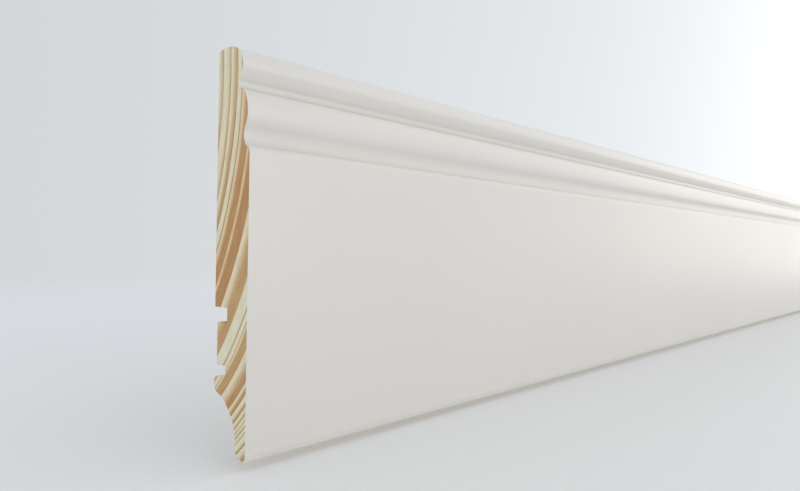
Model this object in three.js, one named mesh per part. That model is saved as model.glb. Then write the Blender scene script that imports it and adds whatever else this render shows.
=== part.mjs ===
// A length of moulded skirting board: solid pine, painted white on its face and top,
// with a clip groove, a hook groove and a hollow foot cut along its bare back.
//
// Millimetres, +Z up. The board runs along X, its back lies on the plane Y = 0 and its
// painted face looks towards -Y. The origin is on the back, at the middle of the flat
// land that lies against the wall.

import * as THREE from 'three';

// Overall size
const length = 1000;
const height = 130;
const thickness = 18;

// All depths below are measured forward from the wall, all heights up from the floor.

// Foot: a thin lip whose sole slopes, so that only its toe meets the floor. The front of
// the toe leans back a little, and its edge is rounded.
const toeRadius = 0.4;
const toeTop = 2.1;
const toeTilt = THREE.MathUtils.degToRad(15);
const soleSlope = THREE.MathUtils.degToRad(22);
const heelDepth = 12.8;

// Plain face, rounded back at its top into a small sunk step
const faceTop = 95.4;
const shoulderRadius = 3.6;
const stepHeight = 97.6;
const stepDepth = 1.2;
const stepRise = 0.1;

// Cove and ovolo that flow into each other
const coveDepth = 14.85;
const coveHeight = 101.1;
const ovoloDepth = 16.72;
const ovoloHeight = 108.1;
const ovoloRun = 3.72;
const ovoloTop = 115.8;
const coveShare = 0.43;

// Upright fillet between the ovolo and the bead
const filletDepth = 11.7;
const filletTop = 118.4;

// Bead along the top edge, with a tight nose, and the crown behind it
const beadDepth = 13.75;
const beadHeight = 123.3;
const noseRadius = 2.6;
const noseTurn = THREE.MathUtils.degToRad(21);
const crownDepth = 6.3;
const crownDrop = 0.8;

// Clip groove, and the sunk land below it
const clipGrooveTop = 46.9;
const clipGrooveBottom = 42.1;
const clipGrooveDepth = 7;
const lowerLandDepth = 1.5;

// Hook groove, whose floor falls towards the wall
const hookGrooveTop = 28.4;
const hookGrooveBottom = 25.7;
const hookGrooveDepth = 6.3;

// Hook under that groove, and the hollow between it and the heel
const hookTop = 24.3;
const hookBottom = 20.9;
const hookChamfer = { depth: 0.7, height: 19.8 };
const hookRoot = { depth: 5.7, height: 17.9 };
const hollowKnee = { depth: 10.7, height: 12.1 };

// The origin lies halfway up the flat land between the clip groove and the crown.
const originHeight = (clipGrooveTop + height - crownDrop) / 2;

// Height of the toe's leaning front, and depth of the centre of its rounded edge
const leanHeight = toeTop - toeRadius * (1 - Math.sin(toeTilt));
const toeCentre = thickness - toeRadius * Math.cos(toeTilt) - leanHeight * Math.tan(toeTilt);

// Straight pieces used to divide each curve of the outline
const curveSegments = 8;

const quarterTurn = Math.PI / 2;

/** Radius and turn of an arc that leaves the upright by `run` over a height of `rise`. */
function arcFromUpright(run, rise) {
  const turn = 2 * Math.atan(run / rise);
  return { radius: rise / Math.sin(turn), turn };
}

/** An arc from one point up to another, where it leans by `lean` from the upright. */
function drawLeaningArc(outline, from, to, lean) {
  const run = to.depth - from.depth;
  const rise = to.height - from.height;
  const turn = 2 * (Math.atan(run / rise) - lean);
  const radius = Math.hypot(run, rise) / (2 * Math.sin(turn / 2));
  const centreDepth = to.depth - radius * Math.cos(lean);
  const centreHeight = to.height + radius * Math.sin(lean);
  outline.absarc(centreDepth, centreHeight, radius, -lean - turn, -lean, false);
}

/** A hollow that flows into a round: two arcs of equal turn, upright at both ends. */
function drawOgee(outline, from, to, hollowShare) {
  const bend = arcFromUpright(to.depth - from.depth, to.height - from.height);
  const hollow = bend.radius * hollowShare;
  const round = bend.radius - hollow;
  outline.absarc(from.depth + hollow, from.height, hollow, Math.PI, Math.PI - bend.turn, true);
  outline.absarc(to.depth - round, to.height, round, -bend.turn, 0, false);
}

/** The toe, the plain face and the sunk step above it. */
function drawFace(outline) {
  outline.absarc(toeCentre, toeRadius, toeRadius, -quarterTurn - soleSlope, -toeTilt, false);
  outline.lineTo(thickness, toeTop);
  const shoulderTurn = Math.asin((stepHeight - faceTop) / shoulderRadius);
  const shoulderCentre = thickness - shoulderRadius;
  outline.absarc(shoulderCentre, faceTop, shoulderRadius, 0, shoulderTurn, false);
  const stepFront = shoulderCentre + shoulderRadius * Math.cos(shoulderTurn);
  outline.lineTo(stepFront - stepDepth, stepHeight + stepRise);
}

/** The cove, the ovolo and the fillet above it. */
function drawMoulding(outline) {
  const coveFoot = outline.currentPoint;
  const lower = arcFromUpright(coveFoot.x - coveDepth, coveHeight - coveFoot.y);
  const coveCentre = coveDepth + lower.radius;
  outline.absarc(coveCentre, coveHeight, lower.radius, Math.PI + lower.turn, Math.PI, true);

  const cove = { depth: coveDepth, height: coveHeight };
  const ovolo = { depth: ovoloDepth, height: ovoloHeight };
  drawOgee(outline, cove, ovolo, coveShare);

  const ovoloCentre = ovoloDepth - ovoloRun;
  outline.absellipse(
    ovoloCentre, ovoloHeight, ovoloRun, ovoloTop - ovoloHeight, 0, quarterTurn, false);
  outline.lineTo(filletDepth, ovoloTop);
  outline.lineTo(filletDepth, filletTop);
}

/** The bead along the top edge and the crown that falls from it to the wall. */
function drawTop(outline) {
  const noseCentre = beadDepth - noseRadius;
  const noseFoot = {
    depth: noseCentre + noseRadius * Math.cos(noseTurn),
    height: beadHeight - noseRadius * Math.sin(noseTurn),
  };
  drawLeaningArc(outline, { depth: filletDepth, height: filletTop }, noseFoot, noseTurn);
  outline.absarc(noseCentre, beadHeight, noseRadius, -noseTurn, 0, false);
  outline.absellipse(
    crownDepth, beadHeight, beadDepth - crownDepth, height - beadHeight, 0, quarterTurn, false);
  outline.absellipse(
    crownDepth, height - crownDrop, crownDepth, crownDrop, quarterTurn, Math.PI, false);
}

/** The back with its two grooves, the hook and the hollow behind the foot. */
function drawBack(outline) {
  outline.lineTo(0, clipGrooveTop);
  outline.lineTo(clipGrooveDepth, clipGrooveTop);
  outline.lineTo(clipGrooveDepth, clipGrooveBottom);
  outline.lineTo(lowerLandDepth, clipGrooveBottom);

  outline.lineTo(lowerLandDepth, hookGrooveTop);
  outline.lineTo(hookGrooveDepth, hookGrooveTop);
  outline.lineTo(hookGrooveDepth, hookGrooveBottom);

  outline.lineTo(0, hookTop);
  outline.lineTo(0, hookBottom);
  outline.lineTo(hookChamfer.depth, hookChamfer.height);
  outline.lineTo(hookRoot.depth, hookRoot.height);

  const soleFront = toeCentre - toeRadius * Math.sin(soleSlope);
  const heelHeight = toeRadius * (1 - Math.cos(soleSlope))
    + (soleFront - heelDepth) * Math.tan(soleSlope);
  const heel = arcFromUpright(heelDepth - hollowKnee.depth, hollowKnee.height - heelHeight);
  outline.absarc(heelDepth - heel.radius, heelHeight, heel.radius, heel.turn, 0, true);
}

/** The section of the board, drawn with the wall on the left and the face on the right. */
function section() {
  const outline = new THREE.Shape();
  drawFace(outline);
  drawMoulding(outline);
  drawTop(outline);
  drawBack(outline);
  outline.closePath();
  return outline;
}

/** The whole board: its section carried along the length. */
function makeBoard() {
  const geometry = new THREE.ExtrudeGeometry(section(), {
    depth: length,
    bevelEnabled: false,
    curveSegments,
  });
  const paint = new THREE.MeshStandardMaterial({ color: 0xe6e4de, roughness: 0.45, metalness: 0 });
  const board = new THREE.Mesh(geometry, paint);
  board.name = 'skirting_board';

  const forward = new THREE.Vector3(0, -1, 0);
  const up = new THREE.Vector3(0, 0, 1);
  const along = new THREE.Vector3(-1, 0, 0);
  const turn = new THREE.Matrix4().makeBasis(forward, up, along);
  board.quaternion.setFromRotationMatrix(turn);
  board.position.set(length / 2, 0, -originHeight);
  return board;
}

const skirtingBoard = new THREE.Group();
skirtingBoard.add(makeBoard());

export default skirtingBoard;
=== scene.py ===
import bpy
import numpy as np
from mathutils import Matrix, Vector


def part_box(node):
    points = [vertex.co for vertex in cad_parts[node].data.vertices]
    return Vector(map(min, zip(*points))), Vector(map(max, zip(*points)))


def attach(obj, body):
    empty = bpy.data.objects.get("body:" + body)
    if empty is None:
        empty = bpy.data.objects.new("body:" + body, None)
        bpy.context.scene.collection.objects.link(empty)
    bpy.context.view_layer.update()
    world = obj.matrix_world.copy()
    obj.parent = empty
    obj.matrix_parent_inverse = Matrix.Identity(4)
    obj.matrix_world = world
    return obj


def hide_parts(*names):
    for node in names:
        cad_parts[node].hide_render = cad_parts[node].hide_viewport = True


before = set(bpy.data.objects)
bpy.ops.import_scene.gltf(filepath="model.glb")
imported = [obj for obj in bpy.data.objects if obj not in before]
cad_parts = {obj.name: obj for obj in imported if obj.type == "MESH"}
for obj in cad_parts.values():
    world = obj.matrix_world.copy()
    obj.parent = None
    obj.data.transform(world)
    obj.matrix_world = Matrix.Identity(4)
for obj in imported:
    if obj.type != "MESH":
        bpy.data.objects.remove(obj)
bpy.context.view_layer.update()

board_low, board_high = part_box("skirting_board")

# %% [markdown]
# A skirting board is one section of wood carried along its length, so the section is
# the whole shape. It is drawn here in millimetres, with depths measured forward from
# the wall and heights up from the floor. It could be traced as a long list of points,
# but a joiner's knife is ground from straight and round stretches, and drawing those
# stretches by their real sizes keeps the curves true at any fineness.

# %% Sizes of the section
MM = 0.001
length = (board_high[0] - board_low[0]) / MM
height = (board_high[2] - board_low[2]) / MM
thickness = (board_high[1] - board_low[1]) / MM
floor_z = board_low[2] / MM

toe_radius, toe_top, toe_tilt = 0.4, 2.1, np.radians(15)
sole_slope = np.radians(22)
heel_depth = 12.8
face_top, shoulder_radius = 95.4, 3.6
step_height, step_depth, step_rise = 97.6, 1.2, 0.1
cove_depth, cove_height, cove_share = 14.85, 101.1, 0.43
ovolo_depth, ovolo_height, ovolo_run, ovolo_top = 16.72, 108.1, 3.72, 115.8
fillet_depth, fillet_top = 11.7, 118.4
bead_depth, bead_height = 13.75, 123.3
nose_radius, nose_turn = 2.6, np.radians(21)
crown_depth, crown_drop = 6.3, 0.8
groove_top, groove_bottom, groove_depth = 46.9, 42.1, 7.0
land_depth = 1.5
hook_groove_top, hook_groove_bottom, hook_groove_depth = 28.4, 25.7, 6.3
hook_top, hook_bottom = 24.3, 20.9
hook_chamfer, hook_root, hollow_knee = (0.7, 19.8), (5.7, 17.9), (10.7, 12.1)
print(f"section {thickness:.1f} x {height:.1f} mm, {length:.0f} mm long")


# %% Straight and round stretches
def arc(centre, radii, start, end, count=40):
    """Points round an ellipse: the centre plus each radius times the cosine and the sine
    of an angle that runs evenly from start to end."""
    angle = np.linspace(start, end, count)
    return np.column_stack((centre[0] + radii[0] * np.cos(angle),
                            centre[1] + radii[1] * np.sin(angle)))


def bend(run, rise):
    """Radius and turn of an arc that leaves the upright by run over a height of rise:
    the turn is twice the chord's angle, and the radius is the rise over the turn's sine."""
    turn = 2 * np.arctan2(run, rise)
    return rise / np.sin(turn), turn


def turning_arc(low, high, end_lean):
    """The arc between two points that ends leaning by end_lean from the upright: it turns by
    twice the angle between that lean and the chord's."""
    chord = np.subtract(high, low)
    turn = 2 * (np.arctan2(chord[0], chord[1]) - end_lean)
    radius = np.hypot(*chord) / (2 * np.sin(turn / 2))
    centre = high - radius * np.array((np.cos(end_lean), -np.sin(end_lean)))
    return arc(centre, (radius, radius), -end_lean - turn, -end_lean)


def ogee(low, high, hollow_share):
    """A hollow that flows into a round: two arcs of equal turn, upright at both ends, which
    share the bend's radius between them."""
    radius, turn = bend(high[0] - low[0], high[1] - low[1])
    hollow = radius * hollow_share
    swell = radius * (1 - hollow_share)
    return np.vstack((
        arc((low[0] + hollow, low[1]), (hollow, hollow), np.pi, np.pi - turn),
        arc((high[0] - swell, high[1]), (swell, swell), -turn, 0)))


print("an upright bend of 2 over 6 mm has radius %.2f mm" % bend(2, 6)[0])

# %% [markdown]
# The front is what the paint covers: the rounded toe on the floor, the plain face, the
# small sunk step, the cove that swells into the ovolo, the upright fillet and the bead
# that rolls over the top. The back is what the saw and the groover left: the flat land
# on the wall, a square groove for clips, a hooked groove, and the hollow behind the foot.
# One closed curve could hold both, but drawing them apart says where the paint ends.


# %% The painted front of the section
def front_outline():
    """From the toe up the face and over the crown to the wall, in order."""
    lean_height = toe_top - toe_radius * (1 - np.sin(toe_tilt))
    toe_reach = toe_radius * np.cos(toe_tilt) + lean_height * np.tan(toe_tilt)
    toe = arc((thickness - toe_reach, toe_radius), (toe_radius, toe_radius),
              -np.pi / 2 - sole_slope, -toe_tilt)
    face_foot = (thickness, toe_top)
    shoulder_turn = np.arcsin((step_height - face_top) / shoulder_radius)
    shoulder = arc((thickness - shoulder_radius, face_top),
                   (shoulder_radius, shoulder_radius), 0, shoulder_turn)
    step = shoulder[-1] + (-step_depth, step_rise)
    radius, turn = bend(step[0] - cove_depth, cove_height - step[1])
    cove = arc((cove_depth + radius, cove_height), (radius, radius), np.pi + turn, np.pi)
    swell = ogee((cove_depth, cove_height), (ovolo_depth, ovolo_height), cove_share)
    ovolo = arc((ovolo_depth - ovolo_run, ovolo_height), (ovolo_run, ovolo_top - ovolo_height),
                0, np.pi / 2)
    fillet = ((fillet_depth, ovolo_top), (fillet_depth, fillet_top))
    nose = arc((bead_depth - nose_radius, bead_height), (nose_radius, nose_radius), -nose_turn, 0)
    underside = turning_arc(fillet[1], nose[0], nose_turn)
    bead = arc((crown_depth, bead_height), (bead_depth - crown_depth, height - bead_height),
               0, np.pi / 2)
    crown = arc((crown_depth, height - crown_drop), (crown_depth, crown_drop),
                np.pi / 2, np.pi)
    return np.vstack((toe, [face_foot], shoulder, [step], cove, swell, ovolo, fillet,
                      underside, nose, bead, crown))


front = front_outline()
print("front outline:", len(front), "points, deepest", front[:, 0].max().round(2), "mm")


# %% The bare back of the section
def back_outline(sole_start):
    """From the crown down the wall side to the heel, where the sole slopes to the toe."""
    drop = np.array([
        (0, groove_top), (groove_depth, groove_top),
        (groove_depth, groove_bottom), (land_depth, groove_bottom),
        (land_depth, hook_groove_top), (hook_groove_depth, hook_groove_top),
        (hook_groove_depth, hook_groove_bottom), (0, hook_top), (0, hook_bottom),
        hook_chamfer, hook_root])
    heel_height = sole_start[1] + (sole_start[0] - heel_depth) * np.tan(sole_slope)
    radius, turn = bend(heel_depth - hollow_knee[0], hollow_knee[1] - heel_height)
    hollow = arc((heel_depth - radius, heel_height), (radius, radius), turn, 0)
    return np.vstack((drop, hollow))


back = back_outline(front[0])
print("back outline:", len(back), "points")

# %% [markdown]
# A machine never leaves a perfectly sharp edge, and paint rounds it further. The outline
# is spread into even steps and then smoothed by a bell curve a fraction of a millimetre
# wide. That could be done with a bevel on every edge, but smoothing the closed curve in
# one go eases all the arrises alike and leaves the long straight stretches untouched.

# %% Even steps and eased arrises
step_length = 0.2
ease_width = 0.16


def even_steps(points, spacing):
    """Points at equal distances along a closed line: each coordinate is read off against
    the running length of the line."""
    closed = np.vstack((points, points[:1]))
    run = np.concatenate(([0], np.cumsum(np.hypot(*np.diff(closed, axis=0).T))))
    count = int(run[-1] / spacing)
    place = np.arange(count) * run[-1] / count
    return np.column_stack([np.interp(place, run, closed[:, k]) for k in (0, 1)]), run


def eased(points, spacing, width):
    """The closed line convolved with a bell curve: its Fourier terms are each damped by
    the exponential of minus half the square of the frequency times the width."""
    wave = 2 * np.pi * np.fft.fftfreq(len(points), spacing)
    terms = np.fft.fft(points[:, 0] + 1j * points[:, 1])
    line = np.fft.ifft(terms * np.exp(-0.5 * (wave * width) ** 2))
    return np.column_stack((line.real, line.imag))


stepped, run = even_steps(np.vstack((front, back)), step_length)
outline = eased(stepped, step_length, ease_width)
painted = np.arange(len(outline)) * step_length <= run[len(front) - 1]
ahead = np.roll(outline, -1, axis=0) - np.roll(outline, 1, axis=0)
outward = np.column_stack((ahead[:, 1], -ahead[:, 0])) / np.hypot(*ahead.T)[:, None]
print(f"{len(outline)} steps round the section, {painted.sum()} of them painted")

# %% [markdown]
# The board is now a grid: one parameter runs round the section, the other along the
# length. Near each end the section draws in by a hair, which rounds the sawn arris, and
# then by the thickness of the paint, so that the film shows its white edge round the bare
# end grain. A plain extrusion with a Bevel modifier would do for the arris, but not for
# the film, which covers the front and not the back.

# %% The board as a grid of sections
arris, arris_steps = 0.06, 4
film, bare_film = 0.05, 0.01
sections_between = 21
arris_turn = np.linspace(0, np.pi / 2, arris_steps)[:-1]
stations = np.linspace(arris, length - arris, sections_between)

end_x = np.concatenate(([0], arris * (1 - np.cos(arris_turn))))
end_inset = np.concatenate(([arris], arris * (1 - np.sin(arris_turn))))
along = np.concatenate((end_x, stations, length - end_x[::-1]))
inset = np.concatenate((end_inset, np.zeros(len(stations)), end_inset[::-1]))
film_inset = np.zeros((len(along), len(outline)))
film_inset[[0, -1]] = np.where(painted, film, bare_film)


def board_points():
    """Every station's outline, moved inward along its normal by that station's inset, with
    depth turned to minus Y and height counted from the origin."""
    drawn_in = (inset[:, None] + film_inset)[..., None]
    section = outline[None] - outward[None] * drawn_in
    x = np.broadcast_to(along[:, None] - length / 2, section.shape[:2])
    return np.stack((x, -section[..., 0], section[..., 1] + floor_z), axis=-1) * MM


points = board_points()
print("grid of", points.shape[0], "stations by", points.shape[1], "steps")

# %% [markdown]
# Shade is painted into the inner corners of the moulding: narrowly on both sides of each
# inward turn, and more widely on the small ledges beside them that look upwards. It could be
# painted on by hand, but it follows from the section, from how far the outline turns inward
# nearby and from how much it looks upwards.

# %% Painted shade in the inner corners
# How far the painted shade spreads from each inner corner, how strong it is on both sides, and its
# wider reach on ledges
hollow_reach, hollow_share = 0.6, 0.48
ledge_reach = 2.0
# A step that turns inward by less than this many radians is no ledge.
gentle_turn = 0.09


def spread(values, reach):
    """Each value along the closed line drawn out into a bell curve of that reach, and all the
    bells added up."""
    wave = 2 * np.pi * np.fft.fftfreq(len(values), step_length)
    bell = np.exp(-0.5 * (wave * reach) ** 2) * reach * np.sqrt(2 * np.pi) / step_length
    return np.fft.ifft(np.fft.fft(values) * bell).real


def painted_corner_shade():
    """Inward turns of the outline, as parts of a right angle: the sharp ones spread widely in
    so far as the surface looks upwards, and for the rest all of them spread narrowly."""
    heading = np.arctan2(ahead[:, 1], ahead[:, 0])
    inward = -np.angle(np.exp(1j * (heading - np.roll(heading, 1))))
    hollow = spread(np.maximum(inward, 0) / (np.pi / 2), hollow_reach)
    ledge = spread(np.maximum(inward - gentle_turn, 0) / (np.pi / 2), ledge_reach)
    upward = np.maximum(outward[:, 1], 0)
    return ledge * upward + hollow_share * hollow * (1 - upward)


# Painted shade for the inner corners: one value for each step round the section
painted_shade = painted_corner_shade()
print("most dust on the paint:", painted_shade[painted].max().round(2))

# %% [markdown]
# Four neighbours on the grid make a face, and each end is closed by one flat face. Faces
# on painted steps take the paint, and the rest, the two ends included, take the bare pine.
# Paint and wood could be two pieces, but they are one board, so they share one mesh. The
# painted corner shade goes with it as a value on every point, where the paint can read it.


# %% Faces between the sections
def grid_faces(rows, columns):
    """Quads between each row of points and the next, on a grid whose columns close up: a
    point, its neighbour in the next row, and the same two one column on."""
    j, i = np.meshgrid(np.arange(rows - 1), np.arange(columns), indexing="ij")
    following = (i + 1) % columns
    corners = (j * columns + i, (j + 1) * columns + i,
               (j + 1) * columns + following, j * columns + following)
    return np.stack(corners, axis=-1).reshape(-1, 4)


station_count, step_count = points.shape[:2]
side_faces = grid_faces(station_count, step_count)
print("faces along the board:", len(side_faces))

# %% The mesh
paint_slot, pine_slot = 0, 1
crease_angle = np.radians(40)


def board_mesh():
    """The grid and its two end faces as one closed mesh, with its finishes and its painted corner
    shade.
    """
    near_end = np.arange(step_count)
    far_end = (station_count - 1) * step_count + near_end[::-1]
    mesh = bpy.data.meshes.new("skirting_board_dressed")
    mesh.from_pydata(points.reshape(-1, 3).tolist(), [],
                     side_faces.tolist() + [near_end.tolist(), far_end.tolist()])
    step_slots = np.where(painted & np.roll(painted, -1), paint_slot, pine_slot)
    slots = np.concatenate((np.tile(step_slots, station_count - 1), [pine_slot, pine_slot]))
    mesh.polygons.foreach_set("material_index", slots.astype(np.int32))
    mesh.polygons.foreach_set("use_smooth", np.ones(len(mesh.polygons), dtype=bool))
    mesh.set_sharp_from_angle(angle=crease_angle)
    # The painted corner shade is kept on the mesh as a value on every point
    held = mesh.attributes.new("painted_shade", "FLOAT", "POINT")
    held.data.foreach_set("value", np.tile(painted_shade, station_count).astype(np.float32))
    mesh.validate()
    return mesh


board = bpy.data.objects.new("board", board_mesh())
bpy.context.collection.objects.link(board)
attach(board, "root")
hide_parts("skirting_board")
print("board mesh:", len(board.data.vertices), "points,", len(board.data.polygons), "faces")

# %% [markdown]
# Wood and paint are made of shader nodes: small sums on the place of each point, wired
# together. They could be wired by hand in the editor, or here with one line for each node
# and link, but a few helpers make a wiring read like the sum that it stands for.


# %% Helpers for shader nodes
def feed(tree, socket, value):
    """Link a socket to another one's output, or set it to a plain value."""
    if isinstance(value, bpy.types.NodeSocket):
        tree.links.new(value, socket)
    else:
        socket.default_value = value


def new_node(tree, kind, inputs=(), **settings):
    """A node of that kind, with its settings, and its inputs set to a value or linked."""
    made = tree.nodes.new(kind)
    for name, value in settings.items():
        setattr(made, name, value)
    for key, value in dict(inputs).items():
        feed(tree, made.inputs[key], value)
    return made


def calculate(tree, operation, *values):
    """The output of a Math node on one, two or three values or sockets."""
    return new_node(tree, "ShaderNodeMath", enumerate(values), operation=operation).outputs[0]


def smooth_ramp(tree, value, start, end):
    """Zero up to start, one from end on, and a smooth step between. A start above the end
    gives a ramp that falls as the value grows."""
    ramp = new_node(tree, "ShaderNodeMapRange", {"Value": value, "From Min": start, "From Max": end},
                    interpolation_type="SMOOTHSTEP")
    return ramp.outputs["Result"]


def noise(tree, place, scale, detail=2.0, roughness=0.5):
    """A noise value from 0 to 1 at a place."""
    return new_node(tree, "ShaderNodeTexNoise", {
        "Vector": place, "Scale": scale, "Detail": detail, "Roughness": roughness}).outputs["Fac"]


def stretched(tree, place, factors):
    """A place with each coordinate multiplied by its own factor."""
    return new_node(tree, "ShaderNodeVectorMath", {0: place, 1: factors},
                    operation="MULTIPLY").outputs["Vector"]


def split(tree, place):
    """The X, Y and Z of a place or a direction."""
    return new_node(tree, "ShaderNodeSeparateXYZ", {"Vector": place}).outputs


print("node helpers ready in Blender", bpy.app.version_string)


# %% Helpers for colours
def as_seen(red, green, blue):
    """A colour named by its screen values from 0 to 255, as linear light."""
    screen = np.array((red, green, blue)) / 255
    linear = np.where(screen <= 0.04045, screen / 12.92, ((screen + 0.055) / 1.055) ** 2.4)
    return (*linear, 1.0)


def blend_colours(tree, share, first, second):
    """The first colour, going to the second as share goes from 0 to 1."""
    mix = new_node(tree, "ShaderNodeMix", data_type="RGBA")
    # A Mix node's sockets for colours share their names with those for numbers.
    first_colour, second_colour, mixed_colour = mix.inputs[6], mix.inputs[7], mix.outputs[2]
    feed(tree, mix.inputs["Factor"], share)
    feed(tree, first_colour, first)
    feed(tree, second_colour, second)
    return mixed_colour


def new_material(name):
    """A new material with its node tree, its shader and the piece's own coordinates."""
    material = bpy.data.materials.new(name)
    material.use_nodes = True
    tree = material.node_tree
    shader = next(n for n in tree.nodes if n.type == "BSDF_PRINCIPLED")
    place = new_node(tree, "ShaderNodeTexCoord").outputs["Object"]
    return material, tree, shader, place


print("mid grey as linear light:", round(as_seen(128, 128, 128)[0], 3))

# %% [markdown]
# Pine shows its years: each ring begins with pale early wood and ends in a brown line or
# band of late wood with a sharp outer edge. On the sawn end the rings are arcs about the
# heart of the tree, which lay behind the board and near the height of its top, and they
# flatten towards the foot. Along the back the same rings run as stripes. A picture of
# grain could be laid on each side, but cutting all sides out of one solid pattern of rings
# makes them agree at the edges.

# %% The rings of this plank
first_edge = 117.0
# For each ring: outer edge in mm from the pith, the shares of its width where it starts to
# darken and where it is darkest, how far its late wood goes from tan to brown, and how
# strong that late wood is.
rings = (
    (121.15, 0.44, 0.78, 0.18, 0.72), (125.35, 0.53, 0.90, 0.20, 0.68),
    (129.1, 0.24, 0.76, 0.45, 1.00), (131.95, 0.66, 0.97, 0.18, 0.85),
    (136.95, 0.15, 0.50, 0.91, 1.00), (142.85, 0.12, 0.31, 1.00, 1.00),
    (150.7, 0.08, 0.62, 0.56, 1.00), (155.45, 0.80, 0.97, 0.14, 0.75),
    (157.4, 0.64, 0.95, 0.20, 0.42), (161.4, 0.06, 0.33, 0.50, 1.00),
    (167.45, 0.14, 0.78, 0.80, 1.00), (170.05, 0.26, 0.66, 0.45, 1.00),
    (172.75, 0.45, 0.85, 0.30, 1.00), (174.8, 0.44, 0.86, 0.20, 0.74),
    (176.1, 0.46, 0.86, 0.20, 0.40), (177.62, 0.42, 0.84, 0.18, 0.64),
    (179.1, 0.46, 0.86, 0.16, 0.40), (181.88, 0.52, 0.92, 0.18, 0.94),
    (185.78, 0.25, 0.84, 0.23, 1.00))
edges = np.array([first_edge] + [ring[0] for ring in rings])
widths = np.diff(edges)
span = edges[-1] - edges[0]
print(len(rings), "rings,", widths.min().round(2), "to", widths.max().round(2), "mm wide")


# %% Counting the rings
def ring_count(tree, radius):
    """How many rings lie inside a radius, as a broken line through the ring edges."""
    place = new_node(tree, "ShaderNodeMapRange", {
        "Value": radius, "From Min": edges[0], "From Max": edges[-1]}, clamp=False).outputs["Result"]
    curve = new_node(tree, "ShaderNodeFloatCurve", {"Value": place})
    line = curve.mapping.curves[0]
    for _ in range(len(edges) - 2):
        line.points.new(0.5, 0.5)
    for point, edge, count in zip(line.points, edges, range(len(edges))):
        point.location = ((edge - edges[0]) / span, count / len(rings))
        point.handle_type = "VECTOR"
    curve.mapping.extend = "EXTRAPOLATED"
    curve.mapping.update()
    return calculate(tree, "MULTIPLY", curve.outputs["Value"], float(len(rings)))


def ring_values(tree, count, values):
    """The colour and alpha outputs of a ramp that holds one row of values for each ring, read
    at the middle of the ring that the count lies in."""
    middle = calculate(tree, "ADD", calculate(tree, "FLOOR", count), 0.5)
    ramp = new_node(tree, "ShaderNodeValToRGB", {
        "Fac": calculate(tree, "DIVIDE", middle, float(len(rings)))})
    ramp.color_ramp.interpolation = "CONSTANT"
    stops = ramp.color_ramp.elements
    for _ in range(len(rings) - 2):
        stops.new(0.5)
    for place, (stop, row) in enumerate(zip(stops, values)):
        stop.position = place / len(rings)
        stop.color = row
    return ramp.outputs["Color"], ramp.outputs["Alpha"]


print("rings counted from", edges[0], "to", edges[-1], "mm from the pith")

# %% Distance from the pith
pith_depth, pith_height = -118.3, 122.3
# Below the bend height the rings turn to the wall faster, with the square of the drop.
bend_height, ring_bend = 36.0, 0.00427
# How far the rings move back towards the wall for each length along the board
grain_slope = 0.012
sway_reach, sway_stretch = 0.5, (3.0, 45.0, 45.0)


def swayed(tree, place):
    """A place moved by up to half the sway's reach each way, by a noise drawn out along the
    board, so that no ring is quite even."""
    wander = new_node(tree, "ShaderNodeTexNoise", {
        "Vector": stretched(tree, place, sway_stretch), "Scale": 1.0, "Detail": 2.0})
    sway = new_node(tree, "ShaderNodeVectorMath", {0: wander.outputs["Color"], 1: (0.5, 0.5, 0.5)},
                    operation="SUBTRACT").outputs["Vector"]
    return new_node(tree, "ShaderNodeVectorMath", {0: sway, 1: (sway_reach * MM,) * 3, 2: place},
                    operation="MULTIPLY_ADD").outputs["Vector"]


def pith_distance(tree, x, y, z):
    """Millimetres from the pith, and metres above it. The distance is the root of the sum of
    two squares: that of the height above the pith, and that of the depth before it, which
    grows with the drift along the board and with the fall below the bend height."""
    from_end = calculate(tree, "ADD", x, length / 2 * MM)
    drift = calculate(tree, "MULTIPLY", from_end, grain_slope)
    below = calculate(tree, "SUBTRACT", (bend_height + floor_z) * MM, z)
    below = calculate(tree, "MAXIMUM", below, 0.0)
    fall = calculate(tree, "MULTIPLY", calculate(tree, "POWER", below, 2.0), ring_bend / MM)
    across = calculate(tree, "SUBTRACT", calculate(tree, "ADD", y, pith_depth * MM),
                       calculate(tree, "ADD", drift, fall))
    upward = calculate(tree, "SUBTRACT", z, (pith_height + floor_z) * MM)
    squares = calculate(tree, "ADD", calculate(tree, "POWER", across, 2.0),
                        calculate(tree, "POWER", upward, 2.0))
    return calculate(tree, "DIVIDE", calculate(tree, "SQRT", squares), MM), upward


print("the rings drift by", round(length * grain_slope, 1), "mm from end to end")

# %% Late wood and ring edges
edge_blur, line_width = 0.25, 0.5
# Tan rings end in a dark line, and brown ones don't.
lined_brown, unlined_brown = 0.45, 0.55
edge_shares = [(edge_blur / width, 1 - line_width / width, 0.0, 1.0) for width in widths]


def ring_shading(tree, radius):
    """How far a place is late wood, how brown that ring is, and how near its dark edge lies:
    each ring darkens smoothly between its own two shares, and its edge fades into the next."""
    count = ring_count(tree, radius)
    share = calculate(tree, "FRACT", count)
    traits, strength = ring_values(tree, count, [ring[1:] for ring in rings])
    start, full, brown = new_node(tree, "ShaderNodeSeparateColor", {"Color": traits}).outputs[:3]
    blurred, lined = new_node(tree, "ShaderNodeSeparateColor", {
        "Color": ring_values(tree, count, edge_shares)[0]}).outputs[:2]
    darkening = smooth_ramp(tree, share, start, full)
    edge_fade = smooth_ramp(tree, share, blurred, 0.0)
    late = calculate(tree, "MULTIPLY", calculate(tree, "MAXIMUM", darkening, edge_fade), strength)
    line = calculate(tree, "MAXIMUM", smooth_ramp(tree, share, lined, 1.0), edge_fade)
    line_strength = calculate(tree, "MULTIPLY", strength,
                              smooth_ramp(tree, brown, unlined_brown, lined_brown))
    return late, brown, calculate(tree, "MULTIPLY", line, line_strength)


print("a ring's edge fades over", edge_blur, "mm, after a line of", line_width, "mm")

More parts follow.
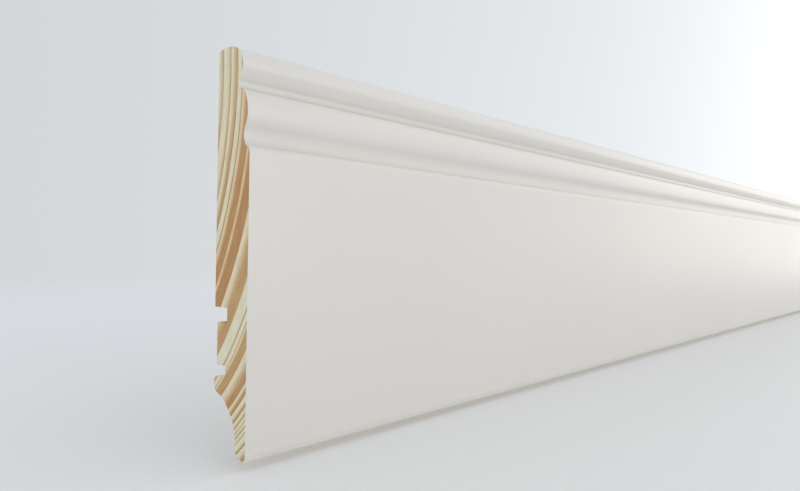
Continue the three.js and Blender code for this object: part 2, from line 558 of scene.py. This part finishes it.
# %% [markdown]
# The rings, the streaks in them and the fibre are wanted twice: the bare wood shows all of
# them, and under the paint the fibre still lifts the surface a little. So the grain is one
# node group with a place going in and its masks coming out. It could be copied into both
# materials, but a group keeps the two the same.

# %% The grain group
streak_across, streak_round, streak_along = 1.1, 120.0, 8.0
fibre_stretch = (14.0, 1500.0, 1500.0)
grain_masks = ["Late", "Brown", "Line", "Streak", "Fibre"]


def group_of(name, inputs, outputs):
    """An empty shader node group with named sockets, and its two end nodes."""
    tree = bpy.data.node_groups.new(name, "ShaderNodeTree")
    for socket in inputs:
        tree.interface.new_socket(socket, in_out="INPUT", socket_type="NodeSocketVector")
    for socket in outputs:
        tree.interface.new_socket(socket, in_out="OUTPUT", socket_type="NodeSocketFloat")
    return tree, tree.nodes.new("NodeGroupInput"), tree.nodes.new("NodeGroupOutput")


def pine_grain_group():
    """Late wood, its brownness and its dark edge from the ring that a place lies in, streaks
    that follow the rings, and fibre a hundred times longer along the board than across it."""
    tree, given, result = group_of("pine_grain", ["Place"], grain_masks)
    place = given.outputs["Place"]
    x, y, z = split(tree, swayed(tree, place))
    radius, upward = pith_distance(tree, x, y, z)
    late, brown, line = ring_shading(tree, radius)
    round_rings = new_node(tree, "ShaderNodeCombineXYZ", {
        "X": calculate(tree, "MULTIPLY", radius, streak_across),
        "Y": calculate(tree, "MULTIPLY", upward, streak_round),
        "Z": calculate(tree, "MULTIPLY", x, streak_along)}).outputs["Vector"]
    streak = noise(tree, round_rings, scale=1.0, detail=3.0, roughness=0.6)
    fibre = noise(tree, stretched(tree, place, fibre_stretch), scale=1.0, detail=3.0, roughness=0.6)
    for name, mask in zip(grain_masks, (late, brown, line, streak, fibre)):
        tree.links.new(mask, result.inputs[name])
    return tree


pine_grain = pine_grain_group()
print("grain group:", len(pine_grain.nodes), "nodes")

# %% [markdown]
# Bare pine is pale cream in its early wood and tan to brown in its late wood, matt, and a
# little rough. Rings rich in resin are amber even in their early wood, and the wood is
# paler towards the top. A photographed texture could give all this, but not the same rings
# on the end, the back and the grooves.

# %% Early wood
early_cream, early_straw = as_seen(232, 234, 209), as_seen(239, 227, 194)
early_amber = as_seen(236, 205, 158)
patch_share, patch_stretch = 0.2, (6.0, 90.0, 90.0)
# How brown a ring has to be for its early wood to turn from cream to straw, and to amber
cream_brown, straw_brown = 0.08, 0.2
resin_start, resin_full = 0.8, 1.0
pale_low, pale_high, pale_tint = 85.0, 120.0, 0.04


def paleness_at(tree, height_here):
    """Zero on the lower board and one near its top, with a smooth step between."""
    return smooth_ramp(tree, height_here, (pale_low + floor_z) * MM, (pale_high + floor_z) * MM)


def early_wood(tree, place, brown, paleness):
    """Cream, going to straw and then to amber as the ring is browner, with patches that shift
    it either way and less straw towards the top."""
    patch = noise(tree, stretched(tree, place, patch_stretch), scale=1.0)
    tint = calculate(tree, "MULTIPLY_ADD", patch, patch_share,
                     calculate(tree, "SUBTRACT", brown, patch_share / 2))
    tint = calculate(tree, "MULTIPLY_ADD", paleness, -pale_tint, tint)
    early = blend_colours(tree, smooth_ramp(tree, tint, cream_brown, straw_brown),
                          early_cream, early_straw)
    return blend_colours(tree, smooth_ramp(tree, brown, resin_start, resin_full),
                         early, early_amber)


print("early wood pales from", pale_low, "to", pale_high, "mm above the floor")

# %% Late wood
late_tan, late_gold, late_rust = as_seen(186, 168, 131), as_seen(202, 165, 114), as_seen(191, 145, 99)
edge_brown, edge_strength = as_seen(148, 120, 84), 0.75
mottle_share = 0.9
pale_share = 0.25


def late_colour(tree, brown, streak):
    """Tan, gold and rust in turn as the ring is browner, with the streaks shifting it."""
    mottled = calculate(tree, "MULTIPLY_ADD", streak, mottle_share,
                        calculate(tree, "SUBTRACT", brown, mottle_share / 2))
    ramp = new_node(tree, "ShaderNodeValToRGB", {"Fac": mottled})
    stops = ramp.color_ramp.elements
    stops.new(0.5)
    for stop, colour in zip(stops, (late_tan, late_gold, late_rust)):
        stop.color = colour
    return ramp.outputs["Color"]


def ringed_wood(tree, place, masks, paleness):
    """Early wood blended with late wood by the late mask, which weakens towards the top, and
    then darkened along the ring edges."""
    early = early_wood(tree, place, masks["Brown"], paleness)
    late = late_colour(tree, masks["Brown"], masks["Streak"])
    late_share = calculate(tree, "MULTIPLY", masks["Late"],
                           calculate(tree, "MULTIPLY_ADD", paleness, -pale_share, 1.0))
    wood = blend_colours(tree, late_share, early, late)
    return blend_colours(tree, calculate(tree, "MULTIPLY", masks["Line"], edge_strength),
                         wood, edge_brown)


print("late wood keeps", 1 - pale_share, "of its strength at the top")

# %% [markdown]
# A spray gun reaches a little way over the top edge, so the back is dusted white there. A
# sharp edge would look masked, and a soft one printed, so the height where the white ends
# is scattered by a fine noise, and only the surfaces that look backwards take it.

# %% Spray on the top of the back
spray_white = as_seen(219, 217, 213)
spray_reach, spray_scatter, spray_grain = 9.0, 6.0, 700.0
# How far a surface has to look backwards to take some spray, and to take all of it
glancing, facing_back = 0.3, 0.6


def sprayed_share(tree, place, height_here):
    """One at the top, falling to zero over the spray's reach, at a height that the noise moves
    by up to half the scatter each way."""
    speckle = noise(tree, place, spray_grain, detail=3.0)
    scattered = calculate(tree, "MULTIPLY_ADD", speckle, spray_scatter * MM, height_here)
    full = height + floor_z + spray_scatter / 2
    sprayed = smooth_ramp(tree, scattered, (full - spray_reach) * MM, full * MM)
    looks_back = split(tree, new_node(tree, "ShaderNodeNewGeometry").outputs["Normal"])["Y"]
    return calculate(tree, "MULTIPLY", sprayed, smooth_ramp(tree, looks_back, glancing, facing_back))


print("spray reaches", spray_reach, "mm down the back")

# %% The bare pine
streak_start, streak_full, streak_dark = 0.35, 0.7, 0.14
fleck_start, fleck_full, fleck_dark = 0.7, 0.3, 0.12
fleck_brown = as_seen(120, 84, 56)
pine_roughness, pine_specular = 0.75, 0.3
fibre_bump, fibre_height = 0.25, 0.2


def pine_material():
    """The ringed wood, darkened by streaks and by flecks where the fibre is thin, then the
    spray on the top of the back, and the fibre once more as bump."""
    material, tree, shader, place = new_material("bare_pine")
    masks = new_node(tree, "ShaderNodeGroup", {"Place": place}, node_tree=pine_grain).outputs
    height_here = split(tree, place)["Z"]
    wood = ringed_wood(tree, place, masks, paleness_at(tree, height_here))
    streak = smooth_ramp(tree, masks["Streak"], streak_start, streak_full)
    fleck = smooth_ramp(tree, masks["Fibre"], fleck_start, fleck_full)
    darker = calculate(tree, "ADD", calculate(tree, "MULTIPLY", streak, streak_dark),
                       calculate(tree, "MULTIPLY", fleck, fleck_dark))
    wood = blend_colours(tree, darker, wood, fleck_brown)
    wood = blend_colours(tree, sprayed_share(tree, place, height_here), wood, spray_white)
    tree.links.new(wood, shader.inputs["Base Color"])
    shader.inputs["Roughness"].default_value = pine_roughness
    shader.inputs["Specular IOR Level"].default_value = pine_specular
    bump = new_node(tree, "ShaderNodeBump", {
        "Strength": fibre_bump, "Distance": fibre_height * MM, "Height": masks["Fibre"]})
    tree.links.new(bump.outputs["Normal"], shader.inputs["Normal"])
    return material


bare_pine = pine_material()
print("bare pine:", len(bare_pine.node_tree.nodes), "nodes")

# %% [markdown]
# The paint is a satin warm white. It is smooth, but not a mirror: a faint orange peel and
# the fibre below it break up its gloss, and shade painted into the inner corners makes it
# browner and duller there. One white with one roughness would do from afar. Close by it
# looks like plastic, so colour and roughness both follow a slow cloudiness and the painted
# corner shade that the mesh carries.

# %% The white paint
warm_white, shaded_white = as_seen(219, 217, 213), as_seen(215, 213, 209)
# Colour, strength and extra roughness of the shade painted into the inner corners
painted_shade_colour, painted_shade_strength, painted_shade_matting = as_seen(90, 72, 30), 0.36, 0.35
cloud_scale, peel_scale = 9.0, 900.0
satin_smooth, satin_rough = 0.30, 0.36
fibre_share, peel_bump, peel_height = 0.6, 0.06, 0.2


def paint_material():
    """Cloudy warm white, blended towards the colour of the painted corner shade and made rougher
    in proportion to that shade, with orange peel plus a share of the fibre as bump."""
    material, tree, shader, place = new_material("white_paint")
    cloud = noise(tree, place, cloud_scale, detail=3.0)
    white = blend_colours(tree, cloud, warm_white, shaded_white)
    # The painted corner shade darkens the white towards brown and makes it rougher
    shade_here = new_node(tree, "ShaderNodeAttribute", attribute_name="painted_shade").outputs["Fac"]
    shade_share = calculate(tree, "MULTIPLY", shade_here, painted_shade_strength)
    tree.links.new(blend_colours(tree, shade_share, white, painted_shade_colour), shader.inputs["Base Color"])
    satin = new_node(tree, "ShaderNodeMapRange", {
        "Value": cloud, "To Min": satin_smooth, "To Max": satin_rough}).outputs["Result"]
    matt = calculate(tree, "MULTIPLY_ADD", shade_here, painted_shade_matting, satin)
    tree.links.new(matt, shader.inputs["Roughness"])
    masks = new_node(tree, "ShaderNodeGroup", {"Place": place}, node_tree=pine_grain).outputs
    peel = noise(tree, place, peel_scale)
    relief = calculate(tree, "MULTIPLY_ADD", masks["Fibre"], fibre_share, peel)
    bump = new_node(tree, "ShaderNodeBump", {
        "Strength": peel_bump, "Distance": peel_height * MM, "Height": relief})
    tree.links.new(bump.outputs["Normal"], shader.inputs["Normal"])
    return material


white_paint = paint_material()
board.data.materials.append(white_paint)
board.data.materials.append(bare_pine)
print("white paint:", len(white_paint.node_tree.nodes), "nodes")

# %% [markdown]
# The board stands over a plain pale floor that fades into the backdrop, with no corner. A
# curved paper sweep would do that for one camera, but a floor that turns clear towards its
# rim looks the same from every side. It lies a little below the toe, which gives the soft
# dark line under the board.

# %% The floor's shape
floor_radius, floor_core = 2.4, 0.02
floor_gap = 3.0
floor_circles, floor_sectors = 24, 96


def floor_points():
    """A flat disc: the radius runs out in even steps and the angle runs all the way round."""
    radius, angle = np.meshgrid(np.linspace(floor_core, floor_radius, floor_circles),
                                np.linspace(0, 2 * np.pi, floor_sectors, endpoint=False),
                                indexing="ij")
    level = np.full_like(radius, (floor_z - floor_gap) * MM)
    return np.stack((radius * np.cos(angle), radius * np.sin(angle), level), axis=-1)


def floor_mesh():
    """Quads between neighbouring circles, and one face in the middle."""
    quads = grid_faces(floor_circles, floor_sectors)
    mesh = bpy.data.meshes.new("floor")
    mesh.from_pydata(floor_points().reshape(-1, 3).tolist(), [],
                     quads.tolist() + [list(range(floor_sectors))])
    mesh.validate()
    return mesh


floor = bpy.data.objects.new("floor", floor_mesh())
bpy.context.collection.objects.link(floor)
print("floor at", round((floor_z - floor_gap) * MM, 5), "m")

# %% The floor's finish
floor_grey = as_seen(236, 237, 238)
floor_roughness, floor_specular = 0.6, 0.2
fade_start, fade_end = 0.5, 1.25
# The floor stays solid further out along the board than across it.
fade_stretch = (0.6, 1.0, 1.0)


def floor_material():
    """Pale matt grey that turns clear with the distance from the middle."""
    material, tree, shader, place = new_material("studio_floor")
    shader.inputs["Base Color"].default_value = floor_grey
    shader.inputs["Roughness"].default_value = floor_roughness
    shader.inputs["Specular IOR Level"].default_value = floor_specular
    distance = new_node(tree, "ShaderNodeVectorMath", {0: stretched(tree, place, fade_stretch)},
                        operation="LENGTH").outputs["Value"]
    tree.links.new(smooth_ramp(tree, distance, fade_end, fade_start), shader.inputs["Alpha"])
    return material


floor.data.materials.append(floor_material())
print("floor fades out from", fade_start, "to", fade_end, "m")

# %% [markdown]
# The studio is a pale cool room that grows bright towards the board's far end, like a wall
# beside a tall window. That brightness is what makes the satin face gleam where it runs
# away from the eye. A lamp could stand there, but a glow that changes smoothly with the
# compass direction also gives the backdrop its gradient.

# %% The room's light
room_grey = (0.653, 0.681, 0.7035)
window_bearing = np.radians(100)
# Strength and sharpness of each of two glows about the window's bearing
wide_glow, window_glow = (0.223, 2.0), (0.75, 16.0)


def room_light():
    """A pale grey, plus powers of the cosine of the bearing from the window, which fade with
    the square of the sine of the angle from straight up."""
    world = bpy.data.worlds.new("studio")
    world.use_nodes = True
    tree = world.node_tree
    background = next(n for n in tree.nodes if n.type == "BACKGROUND")
    direction = new_node(tree, "ShaderNodeTexCoord").outputs["Generated"]
    window = (np.sin(window_bearing), np.cos(window_bearing), 0.0)
    facing = new_node(tree, "ShaderNodeVectorMath", {0: direction, 1: window},
                      operation="DOT_PRODUCT").outputs["Value"]
    facing = calculate(tree, "MAXIMUM", facing, 0.0)
    rise = split(tree, direction)["Z"]
    level = calculate(tree, "SUBTRACT", 1.0, calculate(tree, "POWER", rise, 2.0))
    bearing = calculate(tree, "DIVIDE", facing, calculate(tree, "SQRT", level))
    glow = 0.0
    for strength, sharpness in (wide_glow, window_glow):
        lobe = calculate(tree, "MULTIPLY", calculate(tree, "POWER", bearing, sharpness), strength)
        glow = calculate(tree, "ADD", lobe, glow)
    glow = calculate(tree, "MULTIPLY", glow, level)
    light = new_node(tree, "ShaderNodeVectorMath", {0: room_grey, 1: glow}, operation="ADD")
    tree.links.new(light.outputs["Vector"], background.inputs["Color"])
    return world


bpy.context.scene.world = room_light()
print("room light set, window at a bearing of", round(float(np.degrees(window_bearing))), "degrees")

# %% [markdown]
# Seven large soft lights fill in what the room leaves: warm ones before the board, which
# keep its white from turning blue, and cool ones behind it for the floor and the top edge.
# One strong lamp would be simpler, but it would cast a hard shadow, and the real board has
# only a soft one.

# %% The soft lights
board_middle = Vector((0.0, 0.0, 0.0))


def softbox(name, at, size, power, colour=(1.0, 1.0, 1.0)):
    """A square area light, facing the middle of the board and hidden from the camera."""
    lamp = bpy.data.lights.new(name, "AREA")
    lamp.shape = "SQUARE"
    lamp.size = size
    lamp.energy = power
    lamp.color = colour
    light = bpy.data.objects.new(name, lamp)
    light.location = at
    light.rotation_euler = (board_middle - Vector(at)).to_track_quat("-Z", "Y").to_euler()
    light.visible_camera = False
    bpy.context.collection.objects.link(light)
    return light


softboxes = [
    softbox("front", at=(0.0, -2.5, 0.3), size=2.0, power=16.7, colour=(1.0, 0.915, 0.81)),
    softbox("front_left", at=(-1.8, -1.8, 0.4), size=1.6, power=2.5),
    softbox("front_right", at=(1.5, -1.8, 1.6), size=1.6, power=4.2, colour=(1.0, 0.73, 0.58)),
    softbox("left", at=(-2.4, 0.0, 0.2), size=0.8, power=4.2),
    softbox("right", at=(2.4, -0.5, 0.5), size=1.2, power=2.4, colour=(1.0, 0.84, 0.5)),
    softbox("back", at=(0.0, 1.6, 1.6), size=1.6, power=2.6, colour=(0.88, 0.92, 1.0)),
    softbox("back_right", at=(1.6, 1.6, 1.2), size=1.6, power=3.4, colour=(0.54, 0.62, 1.0)),
]
print("softboxes:", [light.name for light in softboxes])

# %% [markdown]
# The photograph is taken from close by, low down and near the left end, with a wide lens,
# so the board shrinks quickly as it runs off to the right. A camera could be moved by eye
# until the picture looks right, but the board's long edges and groove edges say where it
# stood, so it is placed by that, tilted by a degree.

# %% The camera
camera_from_end, camera_from_wall, camera_above_floor = 115.0, 187.0, 67.5
camera_yaw, camera_pitch, camera_roll = np.radians((47.353, 0.038, 0.917))
picture_width, focal_pixels = 800, 651
sensor_width = 36.0
nearest_seen = 0.01

camera_data = bpy.data.cameras.new("camera")
camera_data.sensor_fit = "HORIZONTAL"
camera_data.sensor_width = sensor_width
camera_data.lens = focal_pixels / picture_width * sensor_width
camera_data.clip_start = nearest_seen
camera = bpy.data.objects.new("camera", camera_data)
bpy.context.collection.objects.link(camera)
stand = Matrix.Translation(Vector((
    -length / 2 - camera_from_end, -camera_from_wall, floor_z + camera_above_floor)) * MM)
camera.matrix_world = (stand @ Matrix.Rotation(-camera_yaw, 4, "Z")
                       @ Matrix.Rotation(np.pi / 2 + camera_pitch, 4, "X")
                       @ Matrix.Rotation(camera_roll, 4, "Z"))
bpy.context.scene.camera = camera
bpy.context.scene.view_settings.view_transform = "Standard"
print("camera at", [round(c, 4) for c in camera.location], "lens", round(camera_data.lens, 2))
